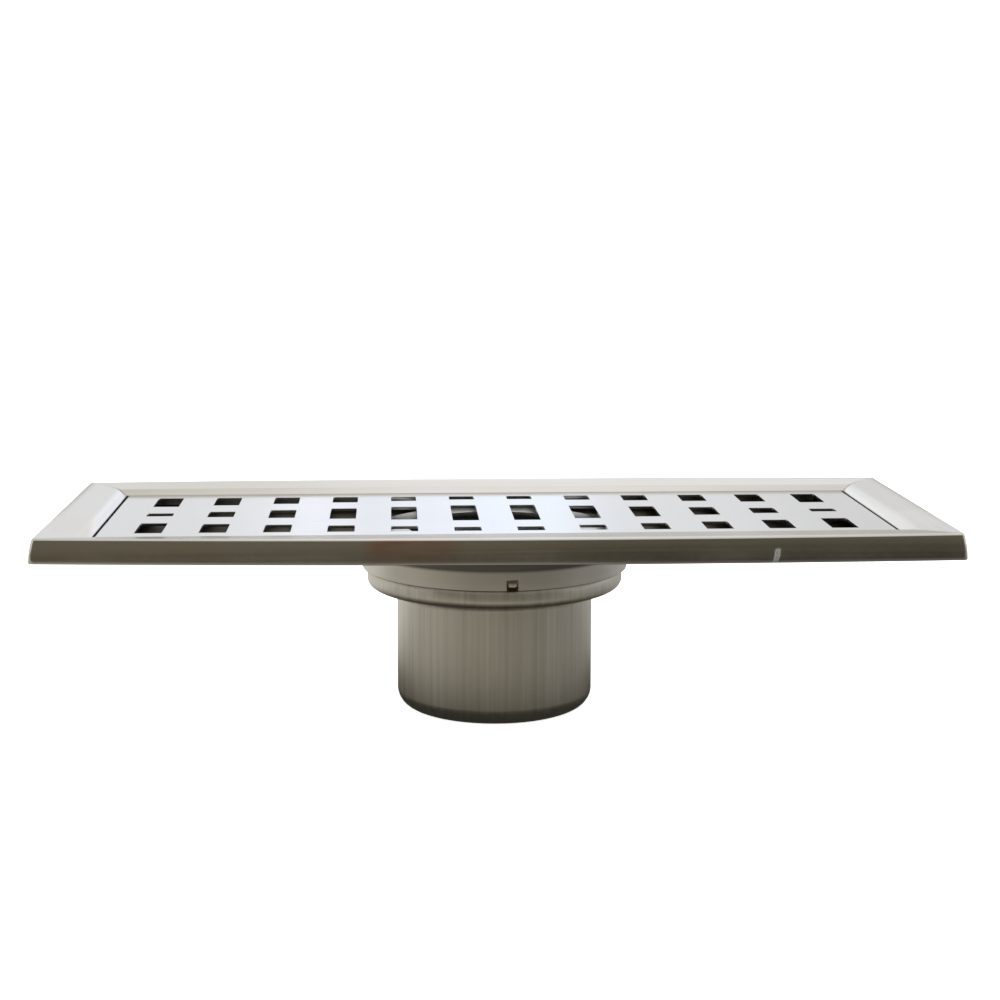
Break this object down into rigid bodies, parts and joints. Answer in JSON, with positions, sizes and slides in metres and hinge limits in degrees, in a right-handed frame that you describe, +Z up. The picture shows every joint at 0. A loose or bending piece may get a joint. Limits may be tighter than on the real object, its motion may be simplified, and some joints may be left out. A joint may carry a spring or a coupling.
{
  "type": "floor drain grate",
  "caption": "Oblong linear floor drain: a dished mitred frame holds a lift-out grate with wave-pattern slots over a shallow tray, with a round collar and a water-seal cup below.",
  "frame": {"origin": "middle of the outlet cup's underside, below the middle of the frame", "axes": "+X along the frame's length, +Y from the front to the back, +Z up; the locating tab is on the front, -Y"},
  "size_m": [0.3, 0.12, 0.07],
  "materials": {
    "frame_steel": "brushed along each rail",
    "grate_steel": "fine satin, brushed lengthwise",
    "tray_steel": "satin",
    "cup_steel": "satin, fine upright drawing marks",
    "insert_steel": "satin",
    "rubber": "matt"
  },
  "bodies": {
    "drain_body": {"rim_front": "frame_steel", "rim_back": "frame_steel", "rim_left": "frame_steel", "rim_right": "frame_steel", "tray": "tray_steel", "collar": "tray_steel", "locating_tab": "tray_steel", "bead_ring": "cup_steel", "outlet_cup": "cup_steel", "standpipe": "cup_steel", "collar_seal": "rubber"},
    "grate": {"grate_plate": "grate_steel", "grate_leg_front_left": "tray_steel", "grate_leg_front_right": "tray_steel", "grate_leg_back_left": "tray_steel", "grate_leg_back_right": "tray_steel", "leg_pad_front_left": "rubber", "leg_pad_front_right": "rubber", "leg_pad_back_left": "rubber", "leg_pad_back_right": "rubber"},
    "trap_insert": {"strainer_basket": "insert_steel", "insert_ring": "insert_steel", "insert_seal": "rubber", "bell": "cup_steel", "bell_screw": "insert_steel", "bell_spacer": "insert_steel", "bell_nut": "insert_steel", "bail_clip_left": "insert_steel", "bail_clip_right": "insert_steel"},
    "bail": {"bail_handle": "insert_steel"}
  },
  "joints": [
    {"name": "grate_lift", "type": "slide", "parent": "drain_body", "child": "grate", "axis": [0, 0, 1], "range_m": [0, 0.12]},
    {"name": "insert_lift", "type": "slide", "parent": "drain_body", "child": "trap_insert", "axis": [0, 0, 1], "range_m": [0, 0.06]},
    {"name": "bail_swing", "type": "hinge", "parent": "trap_insert", "child": "bail", "pos_m": [0, 0, 0.0573], "axis": [1, 0, 0], "range_deg": [0, 90]}
  ],
  "couplings": [
    {"joint": "insert_lift", "follows": "grate_lift", "ratio": 0.5},
    {"joint": "bail_swing", "follows": "grate_lift", "rad_per_m": 13.08}
  ]
}
